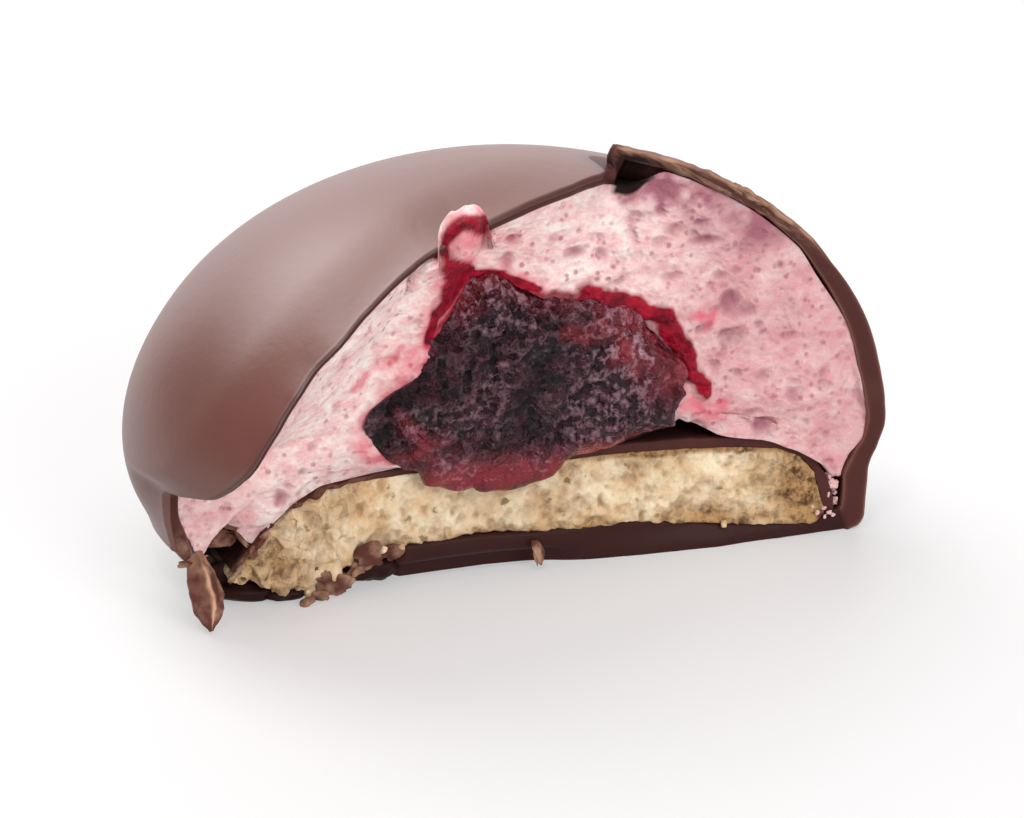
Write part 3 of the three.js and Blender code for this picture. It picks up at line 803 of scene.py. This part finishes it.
def make_biscuit(material):
    def top(x):
        return float(np.interp(x, *BISCUIT_TOP))

    def foot(x):
        return float(np.interp(x, *BISCUIT_FOOT))

    places = np.concatenate([np.linspace(-24.9, -12, 130), np.linspace(-11.9, 22, 230),
                             np.linspace(22.1, 26.4, 40)])
    mesh, points = slab("biscuit_crumb", places, 44, foot, top, BISCUIT_RADIUS)
    x, y, z = points.T
    flat = points.copy()
    front, left = 1 - smooth(0, 1.5, y), smooth(-11, -18, x)
    coarse, _ = grains(flat + 0.5 * soft_noise(flat, 1.0, 80)[:, None], 1.8, 81)
    fine = noise(flat, 0.7, 83)
    crumb = 0.1 * (0.6 - coarse) + 0.28 * fine + 0.22 * noise(flat, 4.0, 89, 2)
    y += front * (-0.25 - crumb * (1 + 0.2 * left) + 0.6 * bump(x, -3, 7) - 0.5 * smooth(12, 24, x))
    y += front * left * (0.6 * noise(flat, 2.2, 84, 2) - 0.9 * smooth(4.5, 1.0, z))
    rag = front * (0.12 + 0.3 * left)
    x += rag * noise(flat, 1.1, 86)
    z += rag * noise(flat, 0.9, 87) * np.where(z > 7.5, 0.5, 1)
    z[:] = np.maximum(z, 0.03)
    set_points(mesh, points)
    low, high = z - np.interp(x, *BISCUIT_FOOT), np.interp(x, *BISCUIT_TOP) - z
    edge = highest(
        0.5 * smooth(1.2, 0.1, low), 0.85 * smooth(2.6, 0.6, low) * smooth(7, 15, x), 0.42 * left,
        1.1 * smooth(18, 24.5, x), 1.2 * smooth(0.7, 0.2, high) * smooth(3, 9, x),
    )
    paint(mesh, "toasted", edge + 0.35 * noise(flat, 2.4, 88))
    # Painted shade: the crumb's recesses are painted darker, and the biscuit behind the cut face, inside the
    # cake, is painted near black
    paint(mesh, "crevice_shade", 0.5 * (coarse - 0.6) - 0.7 * fine)
    paint(mesh, "painted_shade", 0.9 * smooth(0.8, 2.5, y))
    piece = finish_mesh("biscuit_crumb", mesh, material)
    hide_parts("biscuit")


def make_film(material):
    def top(x):
        return float(np.interp(x, *FILM_LINE))

    def foot(x):
        return float(np.interp(x, *BISCUIT_TOP)) if x < 26.3 else 2.0

    places = np.concatenate([np.linspace(-24.6, -8, 150), np.linspace(-7.8, 21, 120),
                             np.linspace(21.2, 27.2, 60)])
    mesh, points = slab("chocolate_film", places, 8, foot, top, FILM_RADIUS)
    x, y, z = points.T
    flat = points.copy()
    front, left, middle = 1 - smooth(0, 1.5, y), smooth(-11, -17, x), 0.4 * bump(x, -3, 7)
    rag = (0.12 + 0.35 * left) * noise(flat, 1.3, 91)
    y += front * (-0.3 + rag + middle - 0.5 * smooth(12, 24, x))
    z += front * (0.05 + 0.22 * left) * noise(flat, 1.1, 93)
    set_points(mesh, points)
    paint(mesh, "broken", 0.5 * left * (0.6 + noise(flat, 0.9, 94, 2)))
    paint(mesh, "cut", 1 - 0.75 * left)
    # Painted shade on the film's top, under the marshmallow
    paint(mesh, "painted_shade", 0.85 * smooth(-0.3, 0.5, y - middle))
    piece = finish_mesh("chocolate_film", mesh, material)
    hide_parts("biscuit_film")


# Loose shards of chocolate, each with its middle, half sizes and turn
CHOCOLATE_SHARDS = [
    (-25.3, 1.4, 5.3, 1.2, 0.6, 0.55, 8), (-16.3, -0.7, 1.5, 1.8, 0.7, 1.05, -16),
    (-12.9, -0.8, 3.0, 1.2, 0.5, 0.85, 14), (-11.0, -0.6, 3.0, 0.9, 0.45, 0.75, 0),
    (-14.1, -0.8, 2.0, 1.1, 0.45, 0.6, 28), (1.35, -1.0, 1.55, 0.42, 0.3, 1.35, 9),
    (-28.0, -1.7, 5.2, 0.95, 0.35, 0.2, 4), (-26.7, -0.8, 6.6, 0.95, 0.25, 0.15, 38),
    (-25.1, -0.6, 7.15, 0.8, 0.25, 0.15, -18), (-23.9, -0.5, 5.9, 1.0, 0.25, 0.16, -56),
    (-29.3, -2.6, 5.2, 0.45, 0.3, 0.22, 0), (-22.9, -0.6, 4.7, 0.35, 0.3, 0.45, -20),
    (-18.9, -2.2, 0.35, 0.6, 0.4, 0.3, 10), (-17.4, -1.6, 0.5, 0.7, 0.4, 0.4, -15),
    (-21.9, -0.6, 6.0, 0.5, 0.25, 0.2, 40),
]
# The lip of base coat left under the lifted end of the biscuit, painted near black as the shade there
BASE_LIP = [
    (-24.9, 2.4, 1.3, 1.7, 1.2, 1.3, 0), (-22.9, 0.9, 0.75, 2.9, 1.3, 0.75, 0),
    (-20.0, 0.0, 0.5, 1.9, 1.3, 0.5, 0), (-16.0, 1.6, 1.0, 3.4, 1.3, 1.0, 0),
    (-12.4, 1.2, 1.2, 2.6, 1.2, 1.2, 0),
]
# Loose crumbs of biscuit
BISCUIT_CRUMBS = [
    (-20.6, -0.9, 1.0, 0.45, 0.35, 0.35, 0), (-18.4, -1.4, 0.8, 0.35, 0.3, 0.3, 20),
    (17.6, -0.9, 2.0, 0.26, 0.22, 0.26, 0), (-12.0, -0.9, 3.5, 0.4, 0.3, 0.3, 15),
    (-10.3, -0.8, 3.5, 0.3, 0.25, 0.25, 0), (-24.0, -0.8, 2.3, 0.4, 0.3, 0.35, 0),
]
# Crumbs of marshmallow caught between the film and the wall
FOAM_CRUMBS = [
    (27.2, -0.4, 4.2, 0.4, 0.3, 0.35, 15), (26.7, -0.5, 3.5, 0.35, 0.25, 0.28, 0),
    (27.5, -0.4, 2.6, 0.28, 0.22, 0.25, 0), (26.9, -0.4, 4.9, 0.3, 0.25, 0.4, 25),
    (27.5, -0.3, 3.4, 0.3, 0.25, 0.3, 40), (26.6, -0.5, 2.7, 0.2, 0.2, 0.2, 0),
    (26.2, -1.3, 2.5, 0.24, 0.2, 0.17, 0), (25.6, -1.3, 2.2, 0.18, 0.15, 0.15, 30),
    (26.7, -1.2, 2.0, 0.2, 0.15, 0.17, 10), (26.3, -1.3, 1.7, 0.15, 0.15, 0.15, 0),
    (27.1, -1.1, 1.7, 0.14, 0.15, 0.12, 0), (25.2, -1.3, 2.8, 0.13, 0.12, 0.12, 0),
]


def colour(code):
    """A linear colour from an sRGB hex code."""
    values = [int(code[place:place + 2], 16) / 255 for place in (1, 3, 5)]
    return [v / 12.92 if v <= 0.04045 else ((v + 0.055) / 1.055) ** 2.4 for v in values] + [1.0]


def fill(tree, node, inputs):
    """Links or sets a node's inputs by name or number, and turns hex codes to colours."""
    for name, value in inputs.items():
        if isinstance(value, bpy.types.NodeSocket):
            tree.links.new(value, node.inputs[name])
        else:
            node.inputs[name].default_value = colour(value) if isinstance(value, str) else value


def add_node(tree, kind, inputs, output=0, **settings):
    """Adds a node, sets its properties, fills its inputs, and gives one of its outputs."""
    made = tree.nodes.new("ShaderNode" + kind)
    for name, value in settings.items():
        setattr(made, name, value)
    fill(tree, made, inputs)
    return made.outputs[output]


def overlaid(tree, base, *coats):
    """Lays colours over a base in turn, each as strongly as an output or a painted number says."""
    for amount, top in coats:
        if isinstance(amount, str):
            amount = add_node(tree, "Attribute", {}, "Fac", attribute_name=amount)
        base = add_node(tree, "Mix", {0: amount, 6: base, 7: top}, 2, data_type="RGBA")
    return base


def new_material(name):
    material = bpy.data.materials.new(name)
    material.use_nodes = True
    tree = material.node_tree
    tree.nodes.clear()
    shader = tree.nodes.new("ShaderNodeBsdfPrincipled")
    surface = tree.nodes.new("ShaderNodeOutputMaterial")
    tree.links.new(shader.outputs[0], surface.inputs["Surface"])
    return material, tree, shader


def chocolate(name, sheen):
    """Tempered dark chocolate: a satin sheen where it was poured, matt where cut, paler where it snapped."""
    material, tree, shader = new_material(name)
    place = add_node(tree, "TexCoord", {}, "Object")
    cloud = add_node(tree, "TexNoise", {"Vector": place, "Scale": 120.0, "Detail": 3.0})
    slanted = add_node(tree, "Mapping", {"Vector": place, "Rotation": (0.0, -0.6, 0.0)})
    drawn = add_node(tree, "Mapping", {"Vector": slanted, "Scale": (0.3, 0.6, 1.8)})
    leaf = add_node(tree, "TexNoise", {"Vector": drawn, "Scale": 1300.0, "Detail": 4.0, "Roughness": 0.65,
                                       "Distortion": 0.5})
    chip = add_node(tree, "TexNoise", {"Vector": place, "Scale": 800.0, "Detail": 4.0, "Roughness": 0.6})
    layered = add_node(tree, "Attribute", {}, "Fac", attribute_name="layered")
    snapped = add_node(tree, "Mix", {0: layered, 2: chip, 3: leaf}, data_type="FLOAT")
    streak = add_node(tree, "MapRange", {"Value": snapped, "From Min": 0.44, "From Max": 0.74})
    pale = overlaid(tree, "#52332b", (streak, "#c09a80"))
    # Over the poured colour: the cut and snapped colours, a pale colour for pale patches and the painted
    # highlight along snapped edges, and near black painted shade
    whole = overlaid(tree, "#65382f", (cloud, "#6e4037"), ("cut", "#4c2b28"), ("broken", pale),
                     ("pale_and_highlight", "#cfa084"), ("painted_shade", "#150b0a"))
    broken = add_node(tree, "Attribute", {}, "Fac", attribute_name="broken")
    dull = add_node(tree, "MapRange", {"Value": broken, "To Min": 0.4, "To Max": 0.7})
    wave = add_node(tree, "TexNoise", {"Vector": place, "Scale": 90.0, "Detail": 2.0})
    gentle = add_node(tree, "Bump", {"Height": wave, "Distance": 0.0002, "Strength": 0.35})
    grain = add_node(tree, "TexNoise", {"Vector": place, "Scale": 1400.0, "Detail": 4.0})
    fine = add_node(tree, "Bump", {"Height": grain, "Distance": 0.00008, "Strength": 0.25, "Normal": gentle})
    fill(tree, shader, {"Base Color": whole, "Roughness": dull, "IOR": 1.5, "Specular IOR Level": sheen,
                        "Normal": fine})
    return material


def marshmallow_foam():
    """Whipped pink marshmallow: a matt, slightly translucent foam full of fine bubbles."""
    material, tree, shader = new_material("whipped_marshmallow")
    place = add_node(tree, "TexCoord", {}, "Object")
    drawn = add_node(tree, "Mapping", {"Vector": place, "Scale": (1.0, 1.0, 1.7)})
    strand = add_node(tree, "TexNoise", {"Vector": drawn, "Scale": 520.0, "Detail": 6.0, "Roughness": 0.75,
                                         "Distortion": 0.4})
    contrast = add_node(tree, "MapRange", {"Value": strand, "From Min": 0.36, "From Max": 0.6})
    # Tiny bubbles as darker specks: painted shade in pits too small to model, which the bump also sinks
    bubble = add_node(tree, "TexVoronoi", {"Vector": place, "Scale": 1150.0, "Randomness": 1.0}, "Distance")
    dark = add_node(tree, "MapRange", {"Value": bubble, "From Min": 0.34, "From Max": 0.16})
    patch = add_node(tree, "TexNoise", {"Vector": place, "Scale": 380.0, "Detail": 3.0})
    spread = add_node(tree, "MapRange", {"Value": patch, "From Min": 0.42, "From Max": 0.6, "To Min": 0.15,
                                         "To Max": 0.8})
    pit_shade = add_node(tree, "Math", {0: dark, 1: spread}, operation="MULTIPLY")
    deep = overlaid(tree, "#5c0014", (contrast, "#a8082a"))
    # Painted shade over the foam's colour: the specks, the pores and the foam under the flap, and near black
    # in the deepest shade
    stained = overlaid(tree, "#f3bcbd", (contrast, "#fff0ea"), ("rosy", "#cb7f88"), (pit_shade, "#b87480"),
                       ("pore_shade", "#a96b78"), ("blush", "#e4566c"), ("red_juice", deep), ("painted_shade", "#1d090a"))
    juice = add_node(tree, "Attribute", {}, "Fac", attribute_name="red_juice")
    wet = add_node(tree, "MapRange", {"Value": juice, "To Min": 0.8, "To Max": 0.2})
    foam = add_node(tree, "Bump", {"Height": pit_shade, "Distance": 0.00015, "Strength": 0.6}, invert=True)
    rough = add_node(tree, "TexNoise", {"Vector": place, "Scale": 1600.0, "Detail": 5.0, "Roughness": 0.7})
    grain = add_node(tree, "Bump", {"Height": rough, "Distance": 0.0006, "Strength": 0.7, "Normal": foam})
    fill(tree, shader, {"Base Color": stained, "Roughness": wet, "Specular IOR Level": 0.2,
                        "Subsurface Weight": 0.2, "Subsurface Radius": (1.0, 0.5, 0.45),
                        "Subsurface Scale": 0.0007, "Normal": grain})
    return material


def fruit_jam():
    """Dark berry jam: wet, nearly black in the middle and wine red where it is thin."""
    material, tree, shader = new_material("berry_jam")
    place = add_node(tree, "TexCoord", {}, "Object")
    cloud = add_node(tree, "TexNoise", {"Vector": place, "Scale": 700.0, "Detail": 5.0})
    red = overlaid(tree, "#2c000c", (cloud, "#a20424"))
    # Pale flecks are painted as glints on the lumps' tops where the painted number says, and the hollows
    # between lumps are painted near black as shade
    painted_glints = add_node(tree, "Attribute", {}, "Fac", attribute_name="painted_glints")
    flecks = add_node(tree, "TexNoise", {"Vector": place, "Scale": 1400.0, "Detail": 3.0, "Roughness": 0.65})
    bright = add_node(tree, "MapRange", {"Value": flecks, "From Min": 0.48, "From Max": 0.72})
    glint_amount = add_node(tree, "Math", {0: bright, 1: painted_glints}, operation="MULTIPLY")
    body = overlaid(tree, "#2a0c18", ("crumb", "#552033"), ("hollow", "#12050a"), ("wine", red),
                    (glint_amount, "#b18694"))
    wine = add_node(tree, "Attribute", {}, "Fac", attribute_name="wine")
    calm = add_node(tree, "MapRange", {"Value": wine, "To Min": 1.0, "To Max": 0.4})
    wrinkle = add_node(tree, "Bump", {"Height": flecks, "Distance": 0.0016, "Strength": calm})
    fill(tree, shader, {"Base Color": body, "Roughness": 0.1, "Specular IOR Level": 0.5, "IOR": 1.47,
                        "Subsurface Weight": 0.15, "Subsurface Radius": (1.0, 0.12, 0.15),
                        "Subsurface Scale": 0.0008, "Normal": wrinkle})
    return material


def shortcrust():
    """Baked biscuit: pale dry crumb with darker specks, toasted toward its edges."""
    material, tree, shader = new_material("baked_biscuit")
    place = add_node(tree, "TexCoord", {}, "Object")
    cloud = add_node(tree, "TexNoise", {"Vector": place, "Scale": 420.0, "Detail": 6.0, "Roughness": 0.65})
    contrast = add_node(tree, "MapRange", {"Value": cloud, "From Min": 0.34, "From Max": 0.62})
    toasted = add_node(tree, "Attribute", {}, "Fac", attribute_name="toasted")
    scorch = add_node(tree, "TexNoise", {"Vector": place, "Scale": 900.0, "Detail": 5.0, "Roughness": 0.7})
    burnt = add_node(tree, "MapRange", {"Value": scorch, "From Min": 0.46, "From Max": 0.62})
    browned = add_node(tree, "Math", {0: burnt, 1: toasted}, operation="MULTIPLY")
    seed = add_node(tree, "TexVoronoi", {"Vector": place, "Scale": 560.0, "Randomness": 1.0}, "Distance")
    ragged = add_node(tree, "Math", {0: seed, 1: scorch}, operation="ADD")
    speck = add_node(tree, "MapRange", {"Value": ragged, "From Min": 0.58, "From Max": 0.68, "To Min": 0.8,
                                        "To Max": 0.0})
    hue = overlaid(tree, "#5d4426", (seed.node.outputs["Color"], "#8f8648"))
    # The crevice and shade numbers are painted shade: a darker tan in the crumb's recesses and near black
    # inside the cake
    crumb = overlaid(tree, "#ebc496", (contrast, "#fdeccb"), (toasted, "#bf9562"), ("crevice_shade", "#b18a60"),
                     (browned, "#5a3820"), (speck, hue), ("painted_shade", "#1c120c"))
    fine = add_node(tree, "TexNoise", {"Vector": place, "Scale": 1800.0, "Detail": 5.0, "Roughness": 0.7})
    rough = add_node(tree, "Bump", {"Height": fine, "Distance": 0.0005, "Strength": 0.8})
    fill(tree, shader, {"Base Color": crumb, "Roughness": 0.9, "Subsurface Weight": 0.1,
                        "Subsurface Scale": 0.0004, "Normal": rough})
    return material


def make_camera():
    """The photograph's view: from the left of the cut and above, with a long lens."""
    data = bpy.data.cameras.new("camera")
    camera = add_object("camera", data)
    data.sensor_width = 36
    data.lens = 290
    data.clip_start, data.clip_end = 0.01, 20
    spot = (np.array(SEEN_FROM) + MOVE) * MM
    aim = (np.array(LOOKED_AT) + MOVE) * MM
    camera.location = spot
    camera.rotation_euler = Vector(aim - spot).to_track_quat("-Z", "Y").to_euler()
    bpy.context.scene.camera = camera


def soft_light(name, spot, size, power):
    """A square studio softbox that looks at the cake."""
    data = bpy.data.lights.new(name, "AREA")
    data.shape = "SQUARE"
    data.size = size
    data.energy = power
    light = add_object(name, data)
    light.location = spot
    light.visible_camera = False
    light.rotation_euler = (Vector((0, 0, 0.015)) - Vector(spot)).to_track_quat("-Z", "Y").to_euler()


def make_stage():
    work = bmesh.new()
    bmesh.ops.create_grid(work, x_segments=1, y_segments=1, size=1.3)
    mesh = mesh_from("floor", work)
    floor = add_object("floor", mesh)
    material, tree, shader = new_material("white_laminate")
    fill(tree, shader, {"Base Color": "#a09e9e", "Emission Color": "#ffffff", "Emission Strength": 0.4,
                        "Roughness": 0.6})
    mesh.materials.append(material)
    world = bpy.data.worlds.new("studio")
    world.use_nodes = True
    fill(world.node_tree, world.node_tree.nodes["Background"], {"Color": "#ffffff", "Strength": 0.24})
    bpy.context.scene.world = world
    soft_light("high_softbox", (-0.38, 0.72, 0.97), 0.95, 12.8)
    soft_light("top_softbox", (0.0, -0.15, 1.25), 1.2, 8.0)
    soft_light("back_softbox", (0.1, 1.3, 0.5), 1.4, 8.5)
    soft_light("front_softbox", (0.3, -1.2, 0.6), 0.8, 11.5)
    soft_light("sparkle_lamp", (-0.45, -0.6, 1.2), 0.14, 2.4)
    bpy.context.scene.view_settings.view_transform = "Standard"


make_camera()
make_stage()
coat = chocolate("tempered_chocolate", 0.65)
matt_coat = chocolate("cut_chocolate", 0.06)
foam = marshmallow_foam()
crust = shortcrust()
make_coat(coat, matt_coat)
make_flake(matt_coat)
make_marshmallow(foam)
make_jam(fruit_jam())
make_biscuit(crust)
make_film(matt_coat)
make_bits("chocolate_shards", matt_coat, CHOCOLATE_SHARDS, 0.5)
# The base coat's lip is painted three quarters of the way to near black, as shade under the biscuit
make_bits("base_coat_lip", matt_coat, BASE_LIP, 0.2, 0.0, 0.75)
make_bits("biscuit_crumbs", crust, BISCUIT_CRUMBS, 0.35)
make_bits("marshmallow_crumbs", foam, FOAM_CRUMBS, 0.6)
